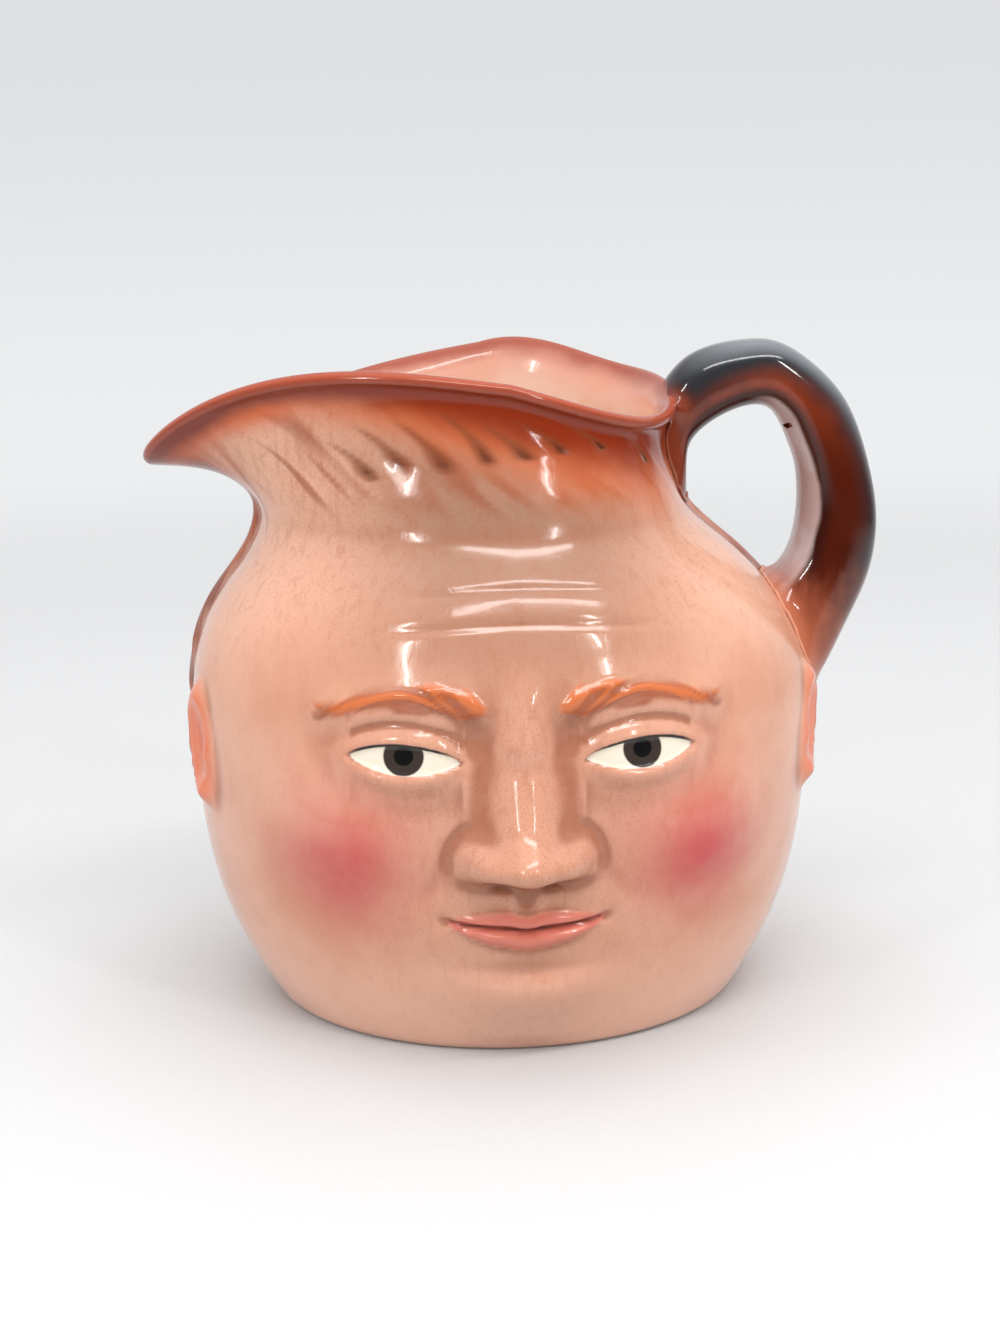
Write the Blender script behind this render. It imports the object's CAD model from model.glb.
"""A glazed earthenware character jug on a pale table: the painted head, its handle and the slip seams."""

import math

import bpy
import numpy as np
from mathutils.bvhtree import BVHTree
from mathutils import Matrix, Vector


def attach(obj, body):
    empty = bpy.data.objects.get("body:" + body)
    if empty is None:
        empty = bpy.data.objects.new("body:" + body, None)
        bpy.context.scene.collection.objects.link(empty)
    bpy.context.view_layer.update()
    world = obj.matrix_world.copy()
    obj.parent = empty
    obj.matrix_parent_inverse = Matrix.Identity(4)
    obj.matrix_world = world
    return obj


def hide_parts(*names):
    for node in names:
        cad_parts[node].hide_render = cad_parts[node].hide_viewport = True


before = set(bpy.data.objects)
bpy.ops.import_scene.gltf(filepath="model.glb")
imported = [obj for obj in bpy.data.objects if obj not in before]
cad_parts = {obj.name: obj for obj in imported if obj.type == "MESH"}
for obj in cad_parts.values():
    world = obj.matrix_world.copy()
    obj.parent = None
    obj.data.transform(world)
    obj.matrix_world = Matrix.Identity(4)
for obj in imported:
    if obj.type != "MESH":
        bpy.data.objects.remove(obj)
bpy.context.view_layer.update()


# The head. It is slip-cast earthenware, cast hollow in a plaster mould that gives the face, ears, hair
# and rolled rim in one piece. It is painted by hand under the glaze and then glazed inside and out.

# Sizes are in mm. The head has levels from the foot, 0, over the throat, 8, to the rim, 11: how high each
# of the lower ones is, and how far the head reaches to each side there.
HEAD_LEVELS = {
    "height": (0, 6, 22, 42, 62, 80, 97, 110, 120),
    "spout": (57.5, 61.5, 69.5, 74.5, 76.2, 76.0, 71.0, 62.0, 58.0, 60.5, 70.0, 84.4),
    "handle": (57.5, 61.5, 69.5, 74.5, 76.2, 76.0, 68.5, 56.7, 46.0, 40.0, 41.0, 43.7),
    "face": (57.5, 61.0, 66.0, 70.0, 72.0, 71.0, 66.5, 60.0, 53.5, 47.5, 46.0, 47.8),
    "back": (57.0, 61.0, 69.0, 74.0, 75.5, 75.0, 71.0, 63.0, 55.5, 50.0, 49.0, 51.4),
}
RIM_RISES = {"spout": 12.6, "handle": 24.9, "face": 30.9, "back": 33.2}
RIM_SWIRL, RIM_SETTLE = 6.3, 5.8
RISE_SHARES = (0.5, 0.84, 1.0)
THROAT, RIM = 8, 11
THROAT_HEIGHT = HEAD_LEVELS["height"][THROAT]
SPOUT_PINCH_SHARE, SPOUT_DIP_POWER, HANDLE_DIP_POWER = 0.35, 2.8, 2
WALL, RIM_WALL, LIP_ROLL = 5.0, 3.2, 1.6
FLOOR, COVE, COVE_WIDE_SHARE = 7.0, 5.0, 1.6
FLOOR_SHARES = (0.8, 0.5, 0.2, 0.0)
RECESS_DEEP, RECESS_RADIUS, RECESS_DRAFT = 2.5, 49.4, 1.4
CHIN, THIRD, EYE = 10.0, 36.0, 26.0
NOSE, BROW, HAIR = CHIN + THIRD, CHIN + 2 * THIRD, CHIN + 3 * THIRD
MOUTH, EYE_LINE = NOSE - THIRD / 3, BROW - 8.0
EYE_HALF, UPPER_LID, LOWER_LID = 12.0, 3.6, 2.9
BALL_HIGH, LID_HIGH, CREASE_DEEP, HOOD_HIGH, BAG_DEEP = 5.0, 1.2, 0.7, 1.0, 0.35
IRIS, PUPIL, IRIS_SOFT = 4.3, 2.1, 0.2
BROW_START, BROW_LONG, BROW_HALF, BROW_TAPER, BROW_HIGH = 9, 35, 4.2, 2.2, 2.0
BRIDGE_HIGH, TIP_HIGH, WING_HIGH, WING_FOLD, NOSTRIL_DEEP = 12.5, 3.2, 4.6, 0.8, 3.6
MOUTH_HALF, UPPER_LIP, LOWER_LIP = 18.0, 4.4, 5.2
UPPER_LIP_FULL, LOWER_LIP_FULL, MOUTH_DEEP, CORNER_DEEP = 1.9, 2.5, 1.5, 0.7
SMILE_DEEP, FOREHEAD_DEEP = 0.55, 0.45
EAR_AHEAD, EAR_WIDE, EAR_TALL, EAR_THICK, HELIX_HIGH, EAR_HOLLOW = 20, 7.6, 14.0, 1.0, 1.3, 1.2
COLUMNS, CROWDING, ROWS_BELOW, ROWS_ABOVE = 340, 0.45, 152, 36
FOOT_BAND, FOOT_STEP = 6, 1.2


def smooth(share):
    """A soft step from 0 to 1 as a share goes from 0 to 1."""
    share = np.clip(share, 0, 1)
    return share * share * (3 - 2 * share)


def hill(across, up, wide, tall):
    """A round hill, 1 at its top, that falls away over its width and height."""
    return np.exp(-(across / wide) ** 2 - (up / tall) ** 2)


GRAIN = np.random.default_rng(4).random((61, 67))


def uneven(across, along):
    """Smooth uneven waves between -1 and 1, about one to a unit each way."""
    i, j = np.floor(across).astype(int), np.floor(along).astype(int)
    s, t = smooth(across - i), smooth(along - j)
    low = GRAIN[i % 61, j % 67] * (1 - s) + GRAIN[(i + 1) % 61, j % 67] * s
    high = GRAIN[i % 61, (j + 1) % 67] * (1 - s) + GRAIN[(i + 1) % 61, (j + 1) % 67] * s
    return 2 * (low * (1 - t) + high * t) - 1


def level_curve(values):
    """A cubic curve through one value at each whole level, read at any level."""
    values = np.asarray(values, float)
    count = len(values)
    rows, wanted = np.eye(count), np.zeros(count)
    wanted[0] = (-11 * values[0] + 18 * values[1] - 9 * values[2] + 2 * values[3]) / 6
    wanted[-1] = (11 * values[-1] - 18 * values[-2] + 9 * values[-3] - 2 * values[-4]) / 6
    for i in range(1, count - 1):
        rows[i, i - 1:i + 2] = 1, 4, 1
        wanted[i] = 3 * (values[i + 1] - values[i - 1])
    slopes = np.linalg.solve(rows, wanted)

    def read(level):
        low = np.clip(np.floor(level).astype(int), 0, count - 2)
        t = level - low
        return (values[low] * (1 + 2 * t) * (1 - t) ** 2 + values[low + 1] * t * t * (3 - 2 * t)
                + slopes[low] * t * (1 - t) ** 2 - slopes[low + 1] * t * t * (1 - t))
    return read


extents = {side: level_curve(HEAD_LEVELS[side]) for side in RIM_RISES}
heights = {side: level_curve([*HEAD_LEVELS["height"], *(THROAT_HEIGHT + share * rise for share in RISE_SHARES)])
           for side, rise in RIM_RISES.items()}


def plain_head(levels, angles):
    """Points of the head without its relief, and the outward direction in plan at each."""
    level, angle = np.meshgrid(levels, angles, indexing="ij")
    across, along = np.cos(angle), np.sin(angle)
    spout, face = across < 0, along < 0
    wide = np.where(spout, extents["spout"](level), extents["handle"](level))
    deep = np.where(face, extents["face"](level), extents["back"](level))
    x_high = np.where(spout, heights["spout"](level), heights["handle"](level))
    y_high = np.where(face, heights["face"](level), heights["back"](level))
    above = smooth((level - THROAT) / (RIM - THROAT))
    pinch = np.where(spout, 1 - SPOUT_PINCH_SHARE * above * across ** 2, 1)
    dip_power = np.where(spout, SPOUT_DIP_POWER, HANDLE_DIP_POWER)
    high = y_high + (x_high - y_high) * np.abs(across) ** dip_power
    by_handle = 2 * np.clip(across, 0, 1) * np.clip(along, 0, 1)
    high += above * (RIM_SWIRL * np.sin(2 * angle) - RIM_SETTLE * by_handle ** 2)
    points = np.stack([wide * across, deep * along * pinch, high], axis=-1)
    outward = np.stack([across / wide, along / deep, np.zeros_like(wide)], axis=-1)
    return points, outward / np.linalg.norm(outward, axis=-1, keepdims=True)


turns = np.arange(COLUMNS + 1) / COLUMNS
angles = math.pi / 2 + 2 * math.pi * turns + CROWDING * np.sin(2 * math.pi * turns)
fine = np.linspace(0, THROAT, 2000)
row_heights = np.concatenate([np.arange(0, FOOT_BAND, FOOT_STEP),
                              np.linspace(FOOT_BAND, THROAT_HEIGHT, ROWS_BELOW)])
below = np.interp(row_heights, heights["face"](fine), fine)
outer_levels = np.concatenate([below, np.linspace(THROAT, RIM, ROWS_ABOVE + 1)[1:]])
skin, outward = plain_head(outer_levels, angles)
x, y, z = skin[..., 0], skin[..., 1], skin[..., 2]
side = np.abs(x)

# The face, modelled in the mould as soft clay: bone first, then eyes, brows, nose and mouth.
# Each form of the bone has how far it stands out, how far from the middle and how high up it lies, and
# its width and height.
BONE = {
    "forehead": (2.0, 18, 100, 26, 13), "eye socket": (-3.4, EYE, EYE_LINE + 1, 15, 10),
    "beside the nose": (-2.4, 12.5, 76, 6, 8), "cheek": (4.2, 39, 54, 16, 14),
    "round the mouth": (3.0, 0, MOUTH, 25, 13), "chin": (5.0, 0, 17.5, 17, 9),
    "over the chin": (-1.4, 0, 24.0, 15, 3.4),
}
bone = sum(stands * hill(side - out, z - above, wide, tall) for stands, out, above, wide, tall in BONE.values())

lid_turn = (side - EYE) / EYE_HALF
arch = np.clip(1 - lid_turn ** 2, 0, None)
eye_tilt = EYE_LINE - 1.0 + 0.6 * lid_turn
upper_lid = eye_tilt + UPPER_LID * arch ** 0.75
lower_lid = eye_tilt - LOWER_LID * arch
eye_open = np.minimum(upper_lid - z, z - lower_lid)
eye_open = np.where(np.abs(lid_turn) < 1, eye_open,
                    -EYE_HALF * (np.abs(lid_turn) - 1) - np.abs(z - eye_tilt) * 0.5)
ball = BALL_HIGH * np.exp(-np.hypot((side - EYE) / 13.2, (z - EYE_LINE + 0.8) / 8.8) ** 3)
lid_near = np.exp(-(np.clip(-eye_open, 0, None) / 4.5) ** 2)
lids = LID_HIGH * smooth((0.2 - eye_open) / 0.9) * lid_near
crease = -CREASE_DEEP * np.exp(-((z - upper_lid - 4.4) / 0.8) ** 2) * smooth((1.2 - np.abs(lid_turn)) / 0.4)
hood = HOOD_HIGH * np.exp(-((z - upper_lid - 7.0) / 2.2) ** 2) * smooth((1.3 - np.abs(lid_turn)) / 0.6)
bag = -BAG_DEEP * np.exp(-((z - lower_lid + 4.6) / 1.3) ** 2) * smooth((1.0 - np.abs(lid_turn)) / 0.5)
eyes = ball + lids + crease + hood + bag

brow_turn = np.clip((side - BROW_START) / BROW_LONG, 0, 1)
brow_middle = BROW + 2.5 + 3.6 * np.sin(math.pi * brow_turn ** 0.85) - 2.0 * brow_turn
brow_lean = 0.95 - 0.75 * brow_turn
brow_across = (z - brow_middle) * np.cos(brow_lean) - side * np.sin(brow_lean)
brow_along = (z - brow_middle) * np.sin(brow_lean) + side * np.cos(brow_lean)
brow_hairs = (0.65 * uneven(brow_across / 1.25, brow_along / 9)
              + 0.35 * uneven(brow_across / 0.7 + 9, brow_along / 6))
brow_in = (BROW_HALF - BROW_TAPER * brow_turn) * smooth((side - 5.5) / 9) - np.abs(z - brow_middle)
brow_in = np.minimum(brow_in, np.minimum(side - 8, 46 - side) * 0.6)
brow_in += 0.9 * uneven(brow_across / 1.4 + 4, brow_along / 5)
brows = (BROW_HIGH * hill(0, z - brow_middle, 1, 5.0) * smooth((side - 4) / 9) * smooth((50 - side) / 10)
         + (0.8 + 0.6 * brow_hairs) * smooth(brow_in / 1.6))

bridge_share = np.clip((BROW + 6 - z) / (BROW + 6 - NOSE - 5), 0, 1)
bridge = 2.2 * smooth((z - 70) / 8) * smooth((96 - z) / 12) + BRIDGE_HIGH * bridge_share ** 1.5
bridge *= smooth((z - NOSE + 2.6) / 5.6)
nose_half = 5.2 + 3.4 * bridge_share
nose = bridge * np.exp(-np.abs(side / nose_half) ** 2.2) + TIP_HIGH * hill(side, z - 51.5, 7.0, 5.2)
wing_reach = np.hypot((side - 10.0) / 4.8, (z - 50.0) / 5.2)
nose += WING_HIGH * np.exp(-wing_reach ** 2.4) * smooth((z - NOSE + 2.6) / 4.5)
nose -= WING_FOLD * np.exp(-((wing_reach - 1.6) / 0.25) ** 2) * smooth((side - 11) / 3) * smooth((z - 46) / 3)
nose -= NOSTRIL_DEEP * hill(side - 5.4, z - 45.4, 2.6, 1.5)
nose += 1.6 * hill(side, z - 45.4, 2.0, 2.2)

lip_turn = side / MOUTH_HALF
lip_arch = np.clip(1 - lip_turn ** 2, 0, None)
lip_line = MOUTH + 0.2 + 1.3 * lip_turn ** 2 - 0.5 * np.exp(-(x / 3.0) ** 2)
lip_top = lip_line + (UPPER_LIP - 1.0 * np.exp(-(x / 2.6) ** 2)) * lip_arch ** 0.85
lip_low = lip_line - LOWER_LIP * lip_arch ** 0.8
upper_share = np.clip((z - lip_line) / np.maximum(lip_top - lip_line, 0.01), 0, 1)
lower_share = np.clip((lip_line - z) / np.maximum(lip_line - lip_low, 0.01), 0, 1)
upper_round, lower_round = np.sin(math.pi * upper_share ** 0.75), np.sin(math.pi * lower_share ** 0.8)
lips = (UPPER_LIP_FULL * upper_round * smooth((z - lip_line) / 0.9) * lip_arch ** 0.6
        + LOWER_LIP_FULL * lower_round * smooth((lip_line - z) / 0.9) * lip_arch ** 0.6)
lip_in = np.minimum(lip_top - z, z - lip_low)
lip_in = np.where(lip_turn < 1, lip_in, -MOUTH_HALF * (lip_turn - 1) - np.abs(z - lip_line) * 0.5)
mouth_groove = np.exp(-((z - lip_line) / 0.75) ** 2) * smooth((1.05 - lip_turn) / 0.15)
lips += -MOUTH_DEEP * mouth_groove - CORNER_DEEP * hill(side - 18.6, z - lip_line, 1.8, 2.0)
philtrum = -0.7 * np.exp(-(x / 1.8) ** 2) + 0.4 * np.exp(-((side - 3.2) / 1.3) ** 2)
philtrum = philtrum * hill(0, z - 41.3, 1, 2.4)


def fold(start, end, wide):
    """How near each place is to a line drawn in the clay from start to end, on both cheeks."""
    run = np.array(end) - start
    share = np.clip(((side - start[0]) * run[0] + (z - start[1]) * run[1]) / (run @ run), 0, 1)
    away = np.hypot(side - start[0] - share * run[0], z - start[1] - share * run[1])
    return np.exp(-(away / wide) ** 2) * np.sin(math.pi * np.clip(share * 0.9 + 0.05, 0, 1))


smile = fold((16.5, 52.0), (25.5, 36.0), 3.0)
forehead_lines = (np.exp(-((z - 101 - 1.5 * np.cos(x / 16)) / 0.9) ** 2) * smooth((36 - side) / 14)
                  + 0.8 * np.exp(-((z - 108 - 1.5 * np.cos(x / 14)) / 0.9) ** 2) * smooth((28 - side) / 12))
face = bone + eyes + brows + nose + lips + philtrum - SMILE_DEEP * smile - FOREHEAD_DEEP * forehead_lines
face = np.where(y < 0, face * smooth(-y / 14), 0)

# The ears, between the brows and the base of the nose, in front of the handle.
ear_middle = (BROW + NOSE) / 2 + 3
ear_back = y + EAR_AHEAD - 0.15 * (z - ear_middle)
ear_reach = np.hypot(ear_back / EAR_WIDE, (z - ear_middle) / EAR_TALL)
ear_plate = smooth((1.25 - ear_reach) / 0.5)
helix = np.exp(-((ear_reach - 0.84) / 0.22) ** 2) * smooth((ear_back + 7) / 7)
ears = (EAR_THICK * ear_plate + HELIX_HIGH * helix
        - EAR_HOLLOW * hill(ear_back + 0.5, z - ear_middle - 1, 3.0, 6.0)
        + 0.8 * hill(ear_back + 4.5, z - ear_middle + 2, 2.4, 3.2)
        + 0.8 * hill(ear_back + 1, z - ear_middle + 11, 3.6, 3.4))
ears = np.where(side > THIRD, ears, 0)
ear_plate = np.where(side > THIRD, ear_plate, 0)

# The hair lies over the crown and the back of the head. Its locks are drawn with a tool, and over the
# forehead each is a comma: a deep tip, and a stroke that thins out as it leans up to the spout's side.
# A lock has the turn and height of its tip, those of its end, and its width.
LOCKS = ((-0.66, 133.2, -0.95, 142.0, 2.3), (-0.51, 135.4, -0.82, 146.0, 2.5),
         (-0.31, 135.4, -0.63, 147.5, 2.6), (-0.11, 136.8, -0.42, 150.0, 2.0),
         (0.07, 137.2, -0.22, 146.5, 2.3), (0.25, 138.2, -0.06, 147.0, 1.8),
         (0.49, 138.0, 0.17, 146.0, 1.6), (0.85, 133.6, 0.56, 142.0, 1.5))
NECK_RADIUS, NAPE_RADIUS, NECK_MIDDLE = 47, 70, 130
COMB_ROUND, COMB_UP = 0.63, 0.77
HAIR_THICK, LOCK_DEEP, COMB_DEEP, BACK_FROM = 1.8, 0.42, 0.16, 1.30
turn_from_face = np.arctan2(x, -y)
past_ear = smooth((y + 22) / 17 - 1)
hair_edge = HAIR + (NOSE - HAIR) * past_ear
hair_in = z - hair_edge
locks = np.zeros_like(z)
for tip_turn, tip, end_turn, end, wide in LOCKS:
    up_share = np.clip((z - tip) / (end - tip), -0.2, 1.2)
    middle = tip_turn + (end_turn - tip_turn) * (0.45 * up_share + 0.55 * up_share * np.abs(up_share))
    half = wide * (0.66 + 0.40 * smooth(1 - up_share * 1.4))
    reach = np.abs((turn_from_face - middle) * NECK_RADIUS / half) ** 2.0
    stroke = smooth(up_share * 7 + 1.0) * (0.52 + 0.48 * smooth(1 - up_share * 2.0))
    stroke = stroke * smooth((1.05 - up_share) * 2.2)
    locks = np.maximum(locks, np.exp(-reach) * stroke)
locks = np.where(y < 0, locks, 0)
comb_across = turn_from_face * NECK_RADIUS * COMB_ROUND + (z - NECK_MIDDLE) * COMB_UP
comb_along = turn_from_face * NECK_RADIUS * -COMB_UP + (z - NECK_MIDDLE) * COMB_ROUND
combed = 0.6 * uneven(comb_across / 2.6, comb_along / 16) + 0.4 * uneven(comb_across / 1.3 + 7, comb_along / 11)
on_top = smooth((z - HAIR - 2) / 12) * smooth((1.5 - np.abs(turn_from_face)) / 0.4)
back_across = (turn_from_face * NAPE_RADIUS + 5.0 * np.sin(z / 17) + 2.0 * np.sin(z / 7 + 1.5)) / 8.2
back_combed = 0.6 * uneven(back_across * 1.7 + 0.5, z / 24) + 0.4 * uneven(back_across * 4.1, z / 15)
back_hair = smooth((np.abs(turn_from_face) - BACK_FROM + 0.12 * back_combed) / 0.16)
back_hair = back_hair * smooth((hair_in + 8 * back_combed) / 4)
strands = 0.5 - 0.8 * np.abs(np.sin(math.pi * (back_across + 0.35 * back_combed))) ** 0.8 + 0.5 * back_combed
hair = (HAIR_THICK * smooth(hair_in / 12) - LOCK_DEEP * locks + COMB_DEEP * combed * on_top
        + strands * back_hair * smooth((np.abs(turn_from_face) - 1.5) / 0.3))

fade = smooth(z / 6) * smooth((THROAT_HEIGHT + 4 - z) / 14)
upper_fade = smooth(z / 6) * smooth((RIM - 0.3 - outer_levels[:, None]) / 1.6)
relief = (face + ears) * fade + hair * upper_fade
skin = skin + outward * relief[..., None]


def softened(field, times):
    """A field of the grid, blurred evenly round and up."""
    for _ in range(times):
        field = (np.roll(field, 1, 1) + np.roll(field, -1, 1) + 2 * field) / 4
        field = np.concatenate([field[:1], (field[:-2] + 2 * field[1:-1] + field[2:]) / 4, field[-1:]])
    return field


recess = (np.clip((softened(relief, 14) - relief) / 0.6, 0, 1)
          + 0.4 * np.clip((softened(relief, 60) - relief) / 1.6, 0, 1))

# The wall inside, the rolled lip between the two, and the floor and foot that close the shell.
inner_levels = np.linspace(RIM, 0, 70)
inside, _ = plain_head(inner_levels, angles)
round_step = np.roll(inside, -1, axis=1) - np.roll(inside, 1, axis=1)
round_step[:, 0] = round_step[:, -1] = inside[:, 1] - inside[:, -2]
out_normal = np.cross(round_step, -np.gradient(inside, axis=0))
out_normal /= np.linalg.norm(out_normal, axis=-1, keepdims=True)
thick = WALL + (RIM_WALL - WALL) * smooth((inner_levels - THROAT) / (RIM - THROAT))
inner_waves = 0.12 * np.sin(11 * angles + 0.6) + 0.06 * np.sin(19 * angles)
inner_waves = inner_waves * smooth((inner_levels - 8.6) / 1.2)[:, None]
inner_waves = inner_waves * smooth((10.9 - inner_levels) / 0.6)[:, None] * smooth(np.sin(angles) * 1.4)
inside = inside - out_normal * (thick[:, None] + inner_waves)[..., None]
inside = inside[np.all(inside[..., 2] > FLOOR + COVE, axis=1)]
up = skin[-1] - skin[-2]
up /= np.linalg.norm(up, axis=-1, keepdims=True)
lip_middle, lip_reach = (skin[-1] + inside[0]) / 2, (skin[-1] - inside[0]) / 2
lip = [lip_middle + lip_reach * math.cos(a) + up * LIP_ROLL * math.sin(a)
       for a in np.linspace(0, math.pi, 10)[1:-1]]
axis_out = inside[-1] * (1, 1, 0) / np.linalg.norm(inside[-1] * (1, 1, 0), axis=-1, keepdims=True)
drop = (0, 0, 1) * (inside[-1][..., 2:] - FLOOR)
cove = [inside[-1] - axis_out * COVE * COVE_WIDE_SHARE * (1 - math.cos(a)) - drop * math.sin(a)
        for a in np.linspace(0, math.pi / 2, 8)[1:]]
floor_rows = [cove[-1] * (share, share, 1) for share in FLOOR_SHARES]
ring = np.stack([np.cos(angles), np.sin(angles), np.zeros_like(angles)], axis=-1)
recess_edge = RECESS_RADIUS - RECESS_DRAFT
foot_profile = ((0, RECESS_DEEP), (20, RECESS_DEEP), (recess_edge - 1, RECESS_DEEP),
                (recess_edge, RECESS_DEEP - 0.4), (RECESS_RADIUS, 0.5), (RECESS_RADIUS + 0.6, 0.0))
foot_rows = [ring * r + (0, 0, h) for r, h in foot_profile]
foot_rows.append(skin[0] * (1, 1, 0) - ring * 0.8)
skin[0] = skin[0] + (0, 0, 0.5)

rings = np.array([*foot_rows, *skin, *lip, *inside, *cove, *floor_rows])
first, last = len(foot_rows), len(foot_rows) + len(skin)


def over_all(field, under, over):
    """A field of the outer skin, carried over the whole shell with one value below and one above."""
    whole = np.full(rings.shape[:2], float(over))
    whole[:first], whole[first:last] = under, field
    return whole


# How far each place is from the rim's crest, down the outside and down the inside.
step = np.linalg.norm(np.diff(rings, axis=0), axis=-1)
way = np.concatenate([np.zeros((1, COLUMNS + 1)), np.cumsum(step, axis=0)])
from_rim = np.abs(way - way[last + len(lip) // 2])
fields = {
    "eye_open": over_all(np.where(y < 0, eye_open, -9), -9, -9),
    "iris_away": over_all(np.hypot(side - EYE, z - EYE_LINE - 0.4), 40, 40),
    "lip_in": over_all(np.where(y < 0, lip_in, -9), -9, -9),
    "mouth_line": over_all(np.where(y < 0, mouth_groove, 0), 0, 0),
    "brow_in": over_all(np.where(y < 0, brow_in, -9), -9, -9),
    "back_hair": over_all(back_hair, 0, 0),
    "ear": over_all(ear_plate, 0, 0),
    "recess": over_all(recess, 0, 0),
    "lock": over_all(locks, 0, 0),
    "brow_hairs": over_all(brow_hairs, 0, 0),
    "combed": over_all(np.where(np.abs(turn_from_face) < 1.4, combed * on_top, back_combed), 0, 0),
    "blush": over_all(np.where(y < 0, hill(side - 40, z - 48, 13, 15), 0), 0, 0),
    "face": over_all(np.where(y < 0, hill(x, z - 62, 46, 52), 0), 0, 0),
    "from_rim": from_rim,
    "warm": over_all(hill(turn_from_face + 1.18, from_rim[first:last] - 8, 0.20, 5.0), 0, 0),
    "inside": over_all(0, 0, 1),
    "underfoot": over_all(0, 1, 0),
}


def moulded(name, rings, fields):
    """A grid bent round into closed rings of points in mm, with a value of each field at every point."""
    bpy.ops.object.select_all(action="DESELECT")
    rows, columns = len(rings) - 1, len(rings[0]) - 1
    bpy.ops.mesh.primitive_grid_add(x_subdivisions=columns, y_subdivisions=rows, size=2)
    piece = bpy.context.object
    piece.name = name
    sheet = np.empty(3 * len(piece.data.vertices))
    piece.data.vertices.foreach_get("co", sheet)
    column = np.rint((sheet[0::3] + 1) / 2 * columns).astype(int)
    row = np.rint((sheet[1::3] + 1) / 2 * rows).astype(int)
    piece.data.vertices.foreach_set("co", (rings[row, column] / 1000).ravel())
    for field_name, field in fields.items():
        layer = piece.data.attributes.new(field_name, "FLOAT", "POINT")
        layer.data.foreach_set("value", field[row, column].astype(np.float32))
    bpy.ops.object.mode_set(mode="EDIT")
    bpy.ops.mesh.select_all(action="SELECT")
    bpy.ops.mesh.remove_doubles(threshold=1e-6)
    bpy.ops.mesh.normals_make_consistent(inside=False)
    bpy.ops.object.mode_set(mode="OBJECT")
    bpy.ops.object.shade_smooth()
    return piece


head = moulded("painted_head", rings, fields)


def paint(r, g, b):
    """A glaze or paint colour as seen, made linear."""
    return tuple(v / 255 / 12.92 if v <= 10 else ((v / 255 + 0.055) / 1.055) ** 2.4 for v in (r, g, b)) + (1.0,)


def add(tree, kind, inputs=(), **settings):
    """A node with its settings, and its inputs by name or place: a value, or another node's output."""
    node = tree.nodes.new("ShaderNode" + kind)
    for name, value in settings.items():
        setattr(node, name, value)
    for key, value in dict(inputs).items():
        if isinstance(value, bpy.types.NodeSocket):
            tree.links.new(value, node.inputs[key])
        else:
            node.inputs[key].default_value = value
    return node


def math_of(tree, operation, *values):
    """One sum on masks."""
    return add(tree, "Math", enumerate(values), operation=operation).outputs[0]


def times(tree, *shares):
    """Masks multiplied together."""
    product = shares[0]
    for share in shares[1:]:
        product = math_of(tree, "MULTIPLY", product, share)
    return product


def ramp(tree, value, low, high, to_low=0.0, to_high=1.0):
    """A soft step of a value between low and high."""
    return add(tree, "MapRange", {"Value": value, 1: low, 2: high, 3: to_low, 4: to_high},
               interpolation_type="SMOOTHSTEP").outputs[0]


def over(tree, below, colour, mask):
    """One coat of paint over what lies below it, as thick as its mask says."""
    return add(tree, "Mix", {0: mask, 6: below, 7: colour}, data_type="RGBA", clamp_factor=True).outputs[2]


def brushed_paint():
    """Brush-laid underglaze: cloudy patches, the brush's fine streaks and grains of pigment."""
    group = bpy.data.node_groups.new("Brushed underglaze", "ShaderNodeTree")
    for name, kind in (("Patch size", "NodeSocketFloat"), ("Streak size", "NodeSocketFloat")):
        group.interface.new_socket(name, in_out="INPUT", socket_type=kind)
    for name in ("Patches", "Streaks", "Grains"):
        group.interface.new_socket(name, in_out="OUTPUT", socket_type="NodeSocketFloat")
    given = group.nodes.new("NodeGroupInput").outputs
    made = group.nodes.new("NodeGroupOutput").inputs
    place = add(group, "TexCoord").outputs["Object"]
    patches = add(group, "TexNoise", {"Vector": place, "Scale": given[0], "Detail": 4.0, "Roughness": 0.55})
    leaning = add(group, "Mapping", {"Vector": place, "Rotation": (0.2, 0.5, 0.3), "Scale": (1.0, 1.0, 0.38)})
    streaks = add(group, "TexNoise", {"Vector": leaning.outputs[0], "Scale": given[1], "Detail": 5.0,
                                      "Roughness": 0.6, "Distortion": 0.6})
    grains = add(group, "TexNoise", {"Vector": place, "Scale": 2600.0, "Detail": 2.0, "Roughness": 0.7})
    group.links.new(patches.outputs[0], made[0])
    group.links.new(streaks.outputs[0], made[1])
    group.links.new(grains.outputs[0], made[2])
    return group


def pooled_glaze():
    """The clear glaze's own surface: slow ripples where it ran and pooled, with a faint orange peel."""
    group = bpy.data.node_groups.new("Pooled glaze", "ShaderNodeTree")
    group.interface.new_socket("Ripple", in_out="INPUT", socket_type="NodeSocketFloat")
    group.interface.new_socket("Height", in_out="OUTPUT", socket_type="NodeSocketFloat")
    given = group.nodes.new("NodeGroupInput").outputs
    made = group.nodes.new("NodeGroupOutput").inputs
    place = add(group, "TexCoord").outputs["Object"]
    slow = add(group, "TexNoise", {"Vector": place, "Scale": 70.0, "Detail": 1.0}).outputs[0]
    peel = add(group, "TexNoise", {"Vector": place, "Scale": 900.0, "Detail": 1.0}).outputs[0]
    peel = math_of(group, "MULTIPLY", peel, 0.03)
    group.links.new(math_of(group, "ADD", math_of(group, "MULTIPLY", slow, given[0]), peel), made[0])
    return group


underglaze, glaze_skin = brushed_paint(), pooled_glaze()


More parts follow.
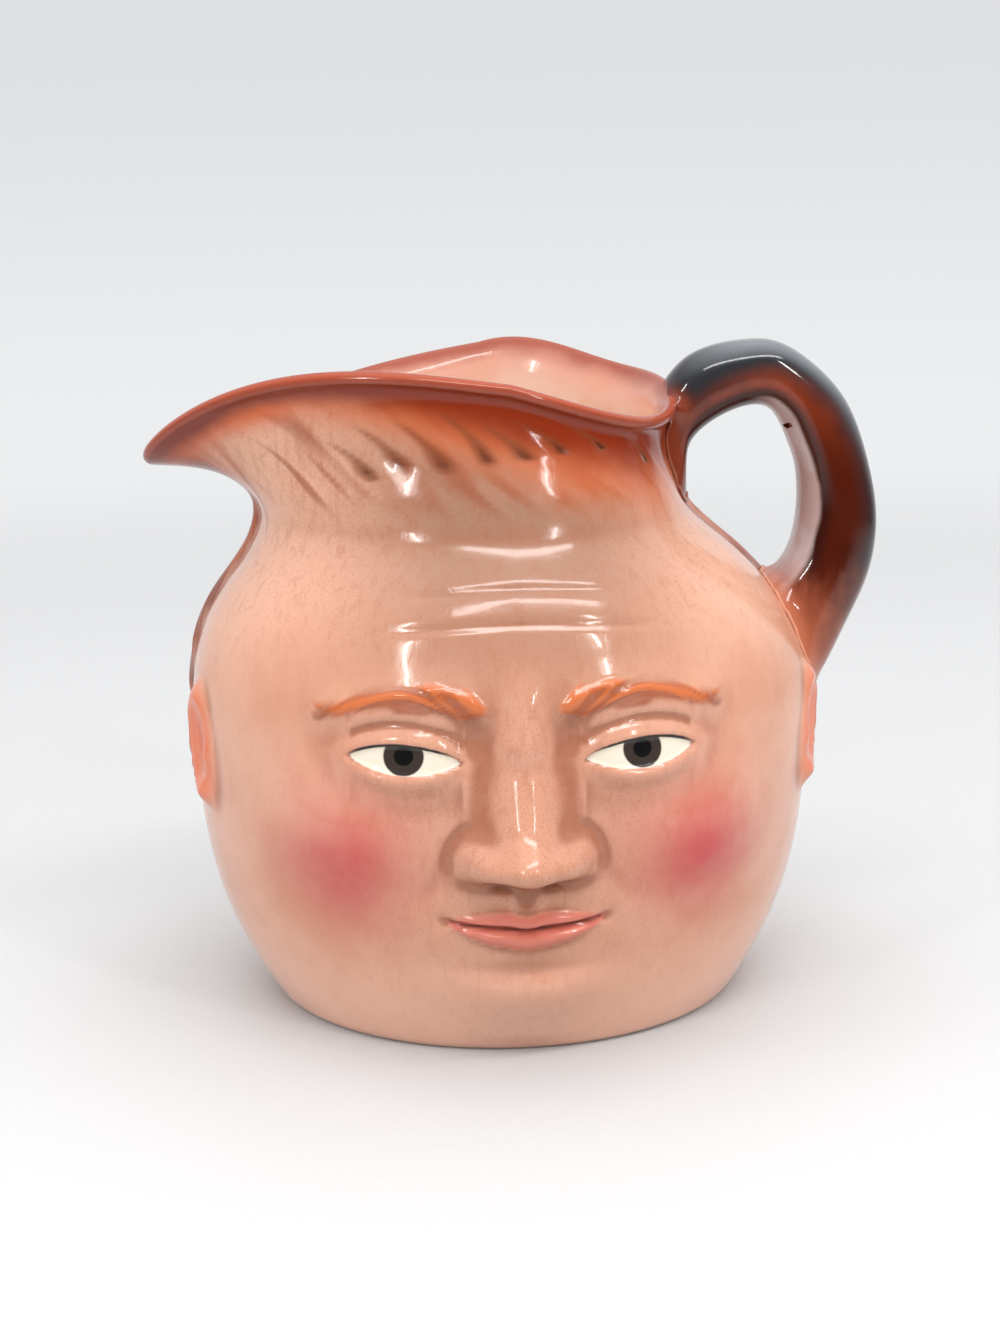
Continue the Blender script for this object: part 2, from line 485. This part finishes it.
def glazed(name, colour_of, ripple, bump):
    """A glazed finish: colour_of paints the clay, and a clear coat lies over it."""
    material = bpy.data.materials.new(name)
    material.use_nodes = True
    tree = material.node_tree
    shader = tree.nodes["Principled BSDF"]
    brush = add(tree, "Group", node_tree=underglaze)
    brush.inputs["Patch size"].default_value = 38.0
    brush.inputs["Streak size"].default_value = 420.0
    colour, roughness, height = colour_of(tree, brush.outputs)
    tree.links.new(colour, shader.inputs["Base Color"])
    tree.links.new(roughness, shader.inputs["Roughness"])
    skin_of_glaze = add(tree, "Group", node_tree=glaze_skin)
    skin_of_glaze.inputs["Ripple"].default_value = ripple
    total = math_of(tree, "ADD", skin_of_glaze.outputs[0], height)
    bumped = add(tree, "Bump", {"Height": total, "Strength": bump, "Distance": 0.0006})
    tree.links.new(bumped.outputs[0], shader.inputs["Normal"])
    shader.inputs["IOR"].default_value = 1.5
    shader.inputs["Specular IOR Level"].default_value = 0.32
    shader.inputs["Coat Weight"].default_value = 0.18
    shader.inputs["Coat Roughness"].default_value = 0.03
    shader.inputs["Coat IOR"].default_value = 1.5
    return material


HEAD_COLOURS = {
    "pale flesh": (206, 156, 133), "flesh": (194, 139, 113), "flesh by the foot": (226, 178, 156),
    "face wash": (190, 137, 112), "temple wash": (212, 162, 136), "forehead wash": (142, 105, 85),
    "brush strokes": (150, 90, 66), "specks": (150, 84, 58), "hollows": (132, 70, 44),
    "comb strokes": (134, 66, 38), "blush": (184, 48, 62), "ear": (206, 98, 58),
    "light hair": (164, 80, 44), "dark hair": (112, 52, 30), "dark brow": (138, 64, 34),
    "light brow": (190, 104, 62), "lips": (200, 104, 90), "mouth line": (118, 50, 40),
    "eyeball": (214, 204, 186), "iris": (54, 46, 42), "pupil": (16, 15, 15), "lashes": (34, 27, 24),
    "orange patch": (214, 96, 38), "band's edge": (190, 92, 50), "band": (122, 38, 12),
    "lock": (116, 60, 36), "lock's tip": (52, 24, 14), "pale cream": (222, 188, 170),
    "cream": (212, 162, 134), "blush inside": (188, 116, 94), "band inside": (132, 48, 26),
    "crest": (156, 70, 44), "bare clay": (226, 210, 190),
}


def head_paint(tree, brush):
    """The head's colours, laid on in the order that a painter works: flesh, washes, then the details."""
    mask = {name: add(tree, "Attribute", attribute_name=name).outputs["Fac"] for name in fields}
    tone = {name: paint(*rgb) for name, rgb in HEAD_COLOURS.items()}
    patches, streaks, grains = brush
    place = add(tree, "SeparateXYZ", {0: add(tree, "TexCoord").outputs["Object"]}).outputs
    height = place[2]

    # Heights and places are in metres, as the mesh is. The masks that are distances keep the form's mm.
    cloud = ramp(tree, patches, 0.35, 0.65)
    colour = over(tree, tone["pale flesh"], tone["flesh"], cloud)
    colour = over(tree, colour, tone["flesh by the foot"], times(tree, ramp(tree, height, 0.034, 0.006), 0.8))
    colour = over(tree, colour, tone["face wash"], times(tree, mask["face"], 0.85))
    to_crown = ramp(tree, height, 0.074, 0.116)
    in_front = ramp(tree, math_of(tree, "ABSOLUTE", place[0]), 0.058, 0.012)
    crown = over(tree, tone["temple wash"], tone["forehead wash"], in_front)
    colour = over(tree, colour, crown, times(tree, to_crown, 0.85))
    front = math_of(tree, "MAXIMUM", mask["face"], to_crown)
    brushed = times(tree, ramp(tree, streaks, 0.47, 0.66), front)
    colour = over(tree, colour, tone["brush strokes"], times(tree, brushed, 0.24))
    speckle = times(tree, ramp(tree, grains, 0.50, 0.66), front, 0.35)
    colour = over(tree, colour, tone["specks"], speckle)
    colour = over(tree, colour, tone["hollows"], times(tree, ramp(tree, mask["recess"], 0.10, 1.0), 0.60))
    combed = times(tree, ramp(tree, mask["combed"], 0.0, 0.7), to_crown, 0.65)
    colour = over(tree, colour, tone["comb strokes"], combed)
    blush = times(tree, mask["blush"], ramp(tree, patches, 0.2, 0.6, 0.55, 1.0), 0.85)
    colour = over(tree, colour, tone["blush"], blush)
    colour = over(tree, colour, tone["ear"], times(tree, mask["ear"], 0.75))
    hair_tone = over(tree, tone["light hair"], tone["dark hair"], ramp(tree, mask["combed"], -0.3, 0.6))
    colour = over(tree, colour, hair_tone, times(tree, mask["back_hair"], 0.92))
    brow = ramp(tree, mask["brow_in"], -0.5, 1.2)
    brow = times(tree, brow, ramp(tree, mask["brow_hairs"], -0.6, 0.1, 0.6, 1.0))
    brow_tone = over(tree, tone["dark brow"], tone["light brow"], ramp(tree, mask["brow_hairs"], -0.4, 0.4))
    colour = over(tree, colour, brow_tone, brow)
    colour = over(tree, colour, tone["lips"], times(tree, ramp(tree, mask["lip_in"], -0.6, 1.0), 0.75))
    colour = over(tree, colour, tone["mouth line"], times(tree, ramp(tree, mask["mouth_line"], 0.5, 0.95), 0.8))
    in_eye = ramp(tree, mask["eye_open"], -0.12, 0.18)
    colour = over(tree, colour, tone["eyeball"], in_eye)
    iris = ramp(tree, mask["iris_away"], IRIS + IRIS_SOFT, IRIS - IRIS_SOFT)
    colour = over(tree, colour, tone["iris"], times(tree, iris, in_eye))
    pupil = ramp(tree, mask["iris_away"], PUPIL + IRIS_SOFT, PUPIL - IRIS_SOFT)
    colour = over(tree, colour, tone["pupil"], times(tree, pupil, in_eye))
    lash = times(tree, ramp(tree, mask["eye_open"], -0.75, -0.35), ramp(tree, mask["eye_open"], 0.35, 0.10))
    colour = over(tree, colour, tone["lashes"], times(tree, lash, ramp(tree, height, 0.0735, 0.0755)))

    ragged = times(tree, math_of(tree, "SUBTRACT", patches, 0.5), 9.0)
    from_rim = math_of(tree, "ADD", mask["from_rim"], ragged)
    band_width = ramp(tree, place[0], -0.075, 0.02, 8.0, 15.0)
    down_band = math_of(tree, "DIVIDE", from_rim, band_width)
    colour = over(tree, colour, tone["orange patch"], times(tree, mask["warm"], 0.95))
    colour = over(tree, colour, tone["band's edge"], times(tree, ramp(tree, down_band, 2.0, 0.9), 0.70))
    colour = over(tree, colour, tone["band"], times(tree, ramp(tree, down_band, 1.35, 0.55), 0.97))
    colour = over(tree, colour, tone["lock"], times(tree, ramp(tree, mask["lock"], 0.04, 0.60), 0.66))
    lock_tip = times(tree, ramp(tree, mask["lock"], 0.55, 0.98), ramp(tree, patches, 0.35, 0.6, 0.35, 0.75))
    colour = over(tree, colour, tone["lock's tip"], lock_tip)
    cream = over(tree, tone["pale cream"], tone["cream"], cloud)
    cream = over(tree, cream, tone["blush inside"], times(tree, ramp(tree, from_rim, 17.0, 7.0), 0.60))
    cream = over(tree, cream, tone["band inside"], times(tree, ramp(tree, from_rim, 9.0, 2.5), 0.90))
    colour = over(tree, colour, cream, mask["inside"])
    colour = over(tree, colour, tone["crest"], times(tree, ramp(tree, mask["from_rim"], 0.9, 0.4), 0.8))
    bare = times(tree, mask["underfoot"], ramp(tree, height, 0.0012, 0.0004))
    colour = over(tree, colour, tone["bare clay"], bare)
    roughness = math_of(tree, "ADD", times(tree, bare, 0.5), 0.16)
    return colour, roughness, times(tree, streaks, 0.25)


head.data.materials.append(glazed("Painted head under clear glaze", head_paint, 0.5, 0.35))
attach(head, "root")
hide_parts("jug_body")


# The handle. It is a solid cast loop of the same clay, luted to the neck and to the side of the head,
# and painted slate black on its outer side, red brown on its flanks and pale inside the loop.
# Each section has its inner point and its outer point beside the hole, and its depth from front to back.
HANDLE_SECTIONS = (
    (43.5, 115.5, 34.0, 138.0, 17.0), (46.6, 124.5, 40.5, 147.5, 16.5), (46.9, 131.6, 46.5, 154.4, 16.5),
    (50.5, 137.2, 54.0, 157.8, 17.0), (58.0, 141.6, 62.7, 159.0, 17.5), (65.2, 142.8, 71.4, 157.5, 17.5),
    (69.6, 139.6, 81.2, 150.2, 18.0), (72.4, 133.5, 87.8, 141.2, 19.0), (74.4, 127.2, 91.8, 130.0, 20.0),
    (74.9, 118.8, 94.2, 118.5, 20.5), (74.0, 111.6, 94.2, 108.3, 21.0), (72.2, 106.2, 91.8, 98.3, 22.0),
    (69.0, 101.8, 87.0, 88.0, 23.5), (64.5, 98.0, 81.5, 77.0, 26.0), (58.0, 95.5, 74.0, 66.0, 28.0))
SECTION_POWER = 0.88
ROUND_HANDLE, ALONG_HANDLE = 72, 280
IN_WALL, OVER_LIP, FILLET, FILLET_REACH = 2.0, 1.8, 1.8, 4.5

stations = np.linspace(0, len(HANDLE_SECTIONS) - 1, ALONG_HANDLE)
in_x, in_z, out_x, out_z, deep = (level_curve(sizes)(stations)[:, None] for sizes in zip(*HANDLE_SECTIONS))
handle_turns = np.linspace(0, 2 * math.pi, ROUND_HANDLE + 1)[None]
outer_side, front_side = (np.sign(part) * np.abs(part) ** SECTION_POWER + 0 * stations[:, None]
                          for part in (np.cos(handle_turns), np.sin(handle_turns)))
loop = np.stack([(in_x + out_x + (out_x - in_x) * outer_side) / 2, deep / 2 * front_side,
                 (in_z + out_z + (out_z - in_z) * outer_side) / 2], axis=-1)
middle_line = np.stack([in_x + out_x, 0 * in_x, in_z + out_z], axis=-1) / 2
away = (loop - middle_line) / np.linalg.norm(loop - middle_line, axis=-1, keepdims=True)

row_starts = range(0, (len(skin) - 1) * (COLUMNS + 1), COLUMNS + 1)
quads = [(r + c, r + c + 1, r + c + COLUMNS + 2, r + c + COLUMNS + 1)
         for r in row_starts for c in range(COLUMNS)]
head_skin = BVHTree.FromPolygons(skin.reshape(-1, 3).tolist(), quads)
rim_edge = skin[-1][skin[-1][:, 0] >= 0]
rim_edge = rim_edge[np.argsort(rim_edge[:, 1])]


def lip_at(points, which):
    """Where the rim's outer edge is beside each point on the handle's side, across or up."""
    return np.interp(points[..., 1], rim_edge[:, 1], rim_edge[:, which])


def to_head(points):
    """The nearest point of the head's outside, the way out there, and how far outside each point is."""
    found = [head_skin.find_nearest(point) for point in points.reshape(-1, 3).tolist()]
    nearest = np.array([f[0] for f in found]).reshape(points.shape)
    out = np.array([f[1] for f in found]).reshape(points.shape)
    out *= np.sign((out * (nearest * (1, 1, 0))).sum(-1, keepdims=True))
    gap = np.linalg.norm(points - nearest, axis=-1)
    inward = ((points - nearest) * out).sum(-1) < 0
    return nearest, out, np.where(inward & (points[..., 2] < lip_at(points, 2)), -gap, gap)


_, _, gap = to_head(loop)
loop = loop + away * (FILLET * np.clip(1 - np.clip(gap, 0, None) / FILLET_REACH, 0, 1) ** 2)[..., None]
nearest, out, gap = to_head(loop)
lip_x, lip_z = lip_at(loop, 0), lip_at(loop, 2)
over_lip = loop[..., 2] > lip_z
buried = ~over_lip & (gap < -IN_WALL)
loop[buried] = (nearest - out * IN_WALL)[buried]
loop[..., 0] = np.where(over_lip, np.maximum(loop[..., 0], lip_x - OVER_LIP), loop[..., 0])
gap = np.where(over_lip & (loop[..., 0] < lip_x - OVER_LIP + 0.01), 0, gap)
ends = [np.repeat(loop[i].mean(axis=0, keepdims=True), ROUND_HANDLE + 1, axis=0) for i in (0, -1)]
handle_rings = np.array([ends[0], *loop, ends[1]])


def with_ends(field):
    """A field of the loop, carried on to the middle of both buried ends."""
    return np.concatenate([field[:1], field, field[-1:]])


handle_fields = {
    "outer_side": with_ends(outer_side),
    "along": with_ends(stations[:, None] / stations[-1] + 0 * outer_side),
    "from_head": with_ends(gap),
}
handle = moulded("luted_handle", handle_rings, handle_fields)

# The vent: a hole no wider than a match, drilled through the pale side so that air could leave in the kiln.
VENT_X, VENT_Z, VENT_BORE = 71.4, 137.9, 1.3
DRILL_LONG, DRILL_AHEAD = 12, 8
bpy.ops.object.select_all(action="DESELECT")
bpy.ops.mesh.primitive_cylinder_add(vertices=24, radius=VENT_BORE / 2000, depth=DRILL_LONG / 1000,
                                    location=(VENT_X / 1000, -DRILL_AHEAD / 1000, VENT_Z / 1000),
                                    rotation=(math.pi / 2, 0, 0))
drill = bpy.context.object
bpy.ops.object.select_all(action="DESELECT")
bpy.context.view_layer.objects.active = handle
handle.select_set(True)
vent = handle.modifiers.new("vent", "BOOLEAN")
vent.object, vent.operation, vent.solver = drill, "DIFFERENCE", "EXACT"
bpy.ops.object.modifier_apply(modifier="vent")
bpy.data.objects.remove(drill)
bpy.ops.object.shade_smooth_by_angle(angle=math.radians(40))


HANDLE_COLOURS = {
    "red brown": (138, 56, 28), "deep brown": (70, 21, 7), "dark patches": (44, 13, 5),
    "inner edge": (52, 18, 10), "pale inside": (164, 142, 138), "paler inside": (186, 174, 174),
    "slate": (40, 41, 44), "slate on top": (118, 121, 126), "tail": (148, 78, 54),
    "by the head": (182, 104, 76), "by the neck": (112, 44, 24),
}


def handle_paint(tree, brush):
    """Slate black over red brown on the outside, thin and pale inside, fading out over the lower end."""
    mask = {name: add(tree, "Attribute", attribute_name=name).outputs["Fac"] for name in handle_fields}
    tone = {name: paint(*rgb) for name, rgb in HANDLE_COLOURS.items()}
    patches, streaks, _ = brush
    wander = times(tree, math_of(tree, "SUBTRACT", patches, 0.5), 0.35)
    outer = math_of(tree, "ADD", mask["outer_side"], wander)
    past_arch = ramp(tree, mask["along"], 0.28, 0.62)
    colour = over(tree, tone["red brown"], tone["deep brown"], past_arch)
    patchy = times(tree, ramp(tree, patches, 0.42, 0.60), 0.5)
    colour = over(tree, colour, tone["dark patches"], patchy)
    colour = over(tree, colour, tone["inner edge"], ramp(tree, outer, -0.25, -0.55))
    inner = times(tree, ramp(tree, outer, -0.58, -0.72), ramp(tree, mask["along"], 0.30, 0.40))
    inner_tone = over(tree, tone["pale inside"], tone["paler inside"], ramp(tree, patches, 0.4, 0.6))
    colour = over(tree, colour, inner_tone, inner)
    slate_edge = math_of(tree, "SUBTRACT", outer, ramp(tree, mask["along"], 0.25, 0.60, -0.42, 0.25))
    colour = over(tree, colour, tone["slate"], ramp(tree, slate_edge, -0.15, 0.85))
    top = times(tree, ramp(tree, outer, 0.40, 1.0), ramp(tree, mask["along"], 0.62, 0.38))
    top = times(tree, top, ramp(tree, mask["along"], 0.10, 0.30))
    colour = over(tree, colour, tone["slate on top"], times(tree, top, 0.75))
    ragged = math_of(tree, "ADD", times(tree, math_of(tree, "SUBTRACT", patches, 0.5), 0.35),
                     times(tree, math_of(tree, "SUBTRACT", streaks, 0.5), 0.10))
    tail = ramp(tree, math_of(tree, "ADD", mask["along"], ragged), 0.74, 0.96)
    colour = over(tree, colour, tone["tail"], times(tree, tail, 0.92))
    colour = over(tree, colour, tone["by the head"], ramp(tree, mask["from_head"], 5.0, 0.0, 0.0, 0.7))
    neck_end = ramp(tree, mask["along"], 0.35, 0.20)
    by_neck = times(tree, neck_end, ramp(tree, mask["from_head"], 7.0, 0.5))
    colour = over(tree, colour, tone["by the neck"], by_neck)
    roughness = math_of(tree, "ADD", times(tree, streaks, 0.04), 0.08)
    return colour, roughness, times(tree, streaks, 0.05)


handle.data.materials.append(glazed("Slate and red-brown under clear glaze", handle_paint, 0.6, 0.25))
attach(handle, "root")
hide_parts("handle")


# The slip seams. Liquid clay squeezed out round both ends of the handle, smoothed with a brush and
# glazed with the rest.
SEAM_REACH, SEAM_LIFT, SEAM_WIDE_SHARE = 0.5, -0.05, 1.5
MEET_GAP, MEET_NEAR = 0.3, 1.0
SEAM_COLOURS = {"light slip": (150, 82, 58), "dark slip": (112, 50, 32), "pale slip": (198, 132, 104)}


def slip_bead(name, rows):
    """A half-buried bead of slip along the line where the handle's surface meets the head's."""
    met, column = np.argmin(np.abs(gap[rows] - MEET_GAP), axis=0), np.arange(ROUND_HANDLE + 1)
    line = loop[rows][met, column]
    out = to_head(line)[1]
    thin = np.where(np.abs(gap[rows][met, column] - MEET_GAP) < MEET_NEAR, 1.0, 0.1)[:, None]
    run = np.roll(line[:-1], -1, axis=0) - np.roll(line[:-1], 1, axis=0)
    run = np.concatenate([run, run[:1]])
    beside = np.cross(run, out)
    beside /= np.linalg.norm(beside, axis=-1, keepdims=True)
    beads = [line + out * SEAM_LIFT
             + SEAM_REACH * thin * (beside * math.cos(a) * SEAM_WIDE_SHARE + out * math.sin(a))
             for a in np.linspace(0, 2 * math.pi, 11)]
    return moulded(name, np.array(beads), {})


def seam_paint(tree, brush):
    """The red brown that runs into the seam, with darker grains where it pooled."""
    tone = {name: paint(*rgb) for name, rgb in SEAM_COLOURS.items()}
    patches, streaks, grains = brush
    height = add(tree, "SeparateXYZ", {0: add(tree, "TexCoord").outputs["Object"]}).outputs[2]
    colour = over(tree, tone["light slip"], tone["dark slip"], ramp(tree, patches, 0.35, 0.65))
    colour = over(tree, colour, tone["pale slip"], ramp(tree, height, 0.112, 0.100))
    roughness = math_of(tree, "ADD", times(tree, streaks, 0.1), 0.12)
    return colour, roughness, times(tree, grains, 0.1)


seam_finish = glazed("Red-brown slip under clear glaze", seam_paint, 0.4, 0.3)
for name, node, rows in (("neck_seam", "upper_lute", slice(0, ALONG_HANDLE // 2)),
                         ("side_seam", "lower_lute", slice(ALONG_HANDLE // 2, ALONG_HANDLE))):
    seam = slip_bead(name, rows)
    seam.data.materials.append(seam_finish)
    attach(seam, "root")
    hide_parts(node)


# The table: a wide sheet of pale card. Far from the jug it thins out, so that it runs into the backdrop
# with no edge. Its sizes are in metres.
TABLE_RADIUS, SOLID_TO, GONE_AT = 2.4, 0.40, 1.05
CARD_DARK, CARD_LIGHT = (0.485, 0.485, 0.485, 1), (0.51, 0.51, 0.51, 1)

bpy.ops.object.select_all(action="DESELECT")
bpy.ops.mesh.primitive_circle_add(vertices=96, radius=TABLE_RADIUS, fill_type="NGON", location=(0, 0, 0))
table = bpy.context.object
table.name = "pale_table"
card = bpy.data.materials.new("Pale card")
card.use_nodes = True
tree = card.node_tree
shader = tree.nodes["Principled BSDF"]
spot = add(tree, "TexCoord").outputs["Object"]
grain = add(tree, "TexNoise", {"Vector": spot, "Scale": 420.0, "Detail": 3.0}).outputs[0]
tree.links.new(over(tree, CARD_DARK, CARD_LIGHT, grain), shader.inputs["Base Color"])
from_middle = add(tree, "VectorMath", {0: spot}, operation="LENGTH").outputs["Value"]
tree.links.new(ramp(tree, from_middle, GONE_AT, SOLID_TO), shader.inputs["Alpha"])
shader.inputs["Roughness"].default_value = 0.6
table.data.materials.append(card)

# The room: a pale backdrop to the camera. To the glaze it is dark in front, pale behind and white overhead.
BACKDROP_LOW, BACKDROP_HIGH = (0.845, 0.855, 0.865, 1), (0.735, 0.745, 0.760, 1)
ROOM_IN_FRONT, ROOM_BEHIND = (0.06, 0.06, 0.065, 1), (0.82, 0.83, 0.85, 1)
ROOM_OVERHEAD = (1.35, 1.37, 1.40, 1)

world = bpy.data.worlds.new("Pale room")
bpy.context.scene.world = world
world.use_nodes = True
tree = world.node_tree
tree.nodes.clear()
way = add(tree, "LightPath").outputs
direction = add(tree, "SeparateXYZ", {0: add(tree, "TexCoord").outputs["Generated"]}).outputs
seen = over(tree, BACKDROP_LOW, BACKDROP_HIGH, ramp(tree, direction[2], -0.12, 0.06))
behind = math_of(tree, "ADD", direction[1], math_of(tree, "MULTIPLY", direction[2], 0.8))
tent = over(tree, ROOM_IN_FRONT, ROOM_BEHIND, ramp(tree, behind, -0.05, 0.85))
tent = over(tree, tent, ROOM_OVERHEAD, ramp(tree, direction[2], 0.62, 0.95))
room = over(tree, tent, seen, way["Is Camera Ray"])
tree.links.new(add(tree, "Background", {0: room, 1: 1.0}).outputs[0], add(tree, "OutputWorld").inputs[0])


# The studio lamps: two narrow strips and a high bar that show in the glaze as thin lights, and four wide
# soft sheets, in front, on both sides and overhead, that light the clay and the table evenly and don't show
# in the glaze. The places and sizes are in metres.
def soft_box(name, place, aim, wide, tall, watts, shows=True):
    """A soft box whose sheet faces what it is aimed at."""
    bpy.ops.object.light_add(type="AREA", location=place)
    lamp = bpy.context.object
    lamp.name = name
    lamp.data.shape = "RECTANGLE"
    lamp.data.size, lamp.data.size_y, lamp.data.energy = wide, tall, watts
    lamp.visible_glossy = shows
    lamp.rotation_euler = (Vector(aim) - Vector(place)).to_track_quat("-Z", "Y").to_euler()


soft_box("left_strip", (-0.75, -0.85, 0.70), (0, 0, 0.08), 0.05, 0.34, 2.8)
soft_box("right_strip", (0.62, -0.90, 0.75), (0, 0, 0.08), 0.05, 0.34, 2.8)
soft_box("high_front_bar", (0.15, -0.55, 0.95), (0, 0, 0.12), 0.90, 0.10, 4.6)
soft_box("front_sheet", (0.0, -1.3, 0.7), (0, 0, 0.08), 1.6, 0.9, 8.0, shows=False)
soft_box("left_sheet", (-1.2, -0.4, 0.6), (0, 0, 0.08), 0.9, 0.9, 6.5, shows=False)
soft_box("right_sheet", (1.2, -0.4, 0.6), (0, 0, 0.08), 0.9, 0.9, 6.5, shows=False)
soft_box("overhead_sheet", (0.0, 0.3, 1.5), (0, 0.2, 0.0), 1.8, 1.4, 11.0, shows=False)


# The camera: at the photograph's height, a little to the lip's side and looking down at the rim.
CAMERA_PLACE, CAMERA_AIM, CAMERA_ROLL = (-0.0402, -0.5753, 0.2037), (0, 0, 0.079), math.radians(-1.1)

bpy.ops.object.camera_add(location=CAMERA_PLACE)
camera = bpy.context.object
camera.name = "photo_camera"
camera.data.lens, camera.data.sensor_width, camera.data.sensor_fit = 63.7, 36.0, "AUTO"
look = (Vector(CAMERA_AIM) - camera.location).to_track_quat("-Z", "Y")
camera.rotation_euler = (look @ Matrix.Rotation(CAMERA_ROLL, 3, "Z").to_quaternion()).to_euler()
camera.data.clip_start = 0.01
bpy.context.scene.camera = camera
bpy.context.scene.view_settings.view_transform = "Standard"
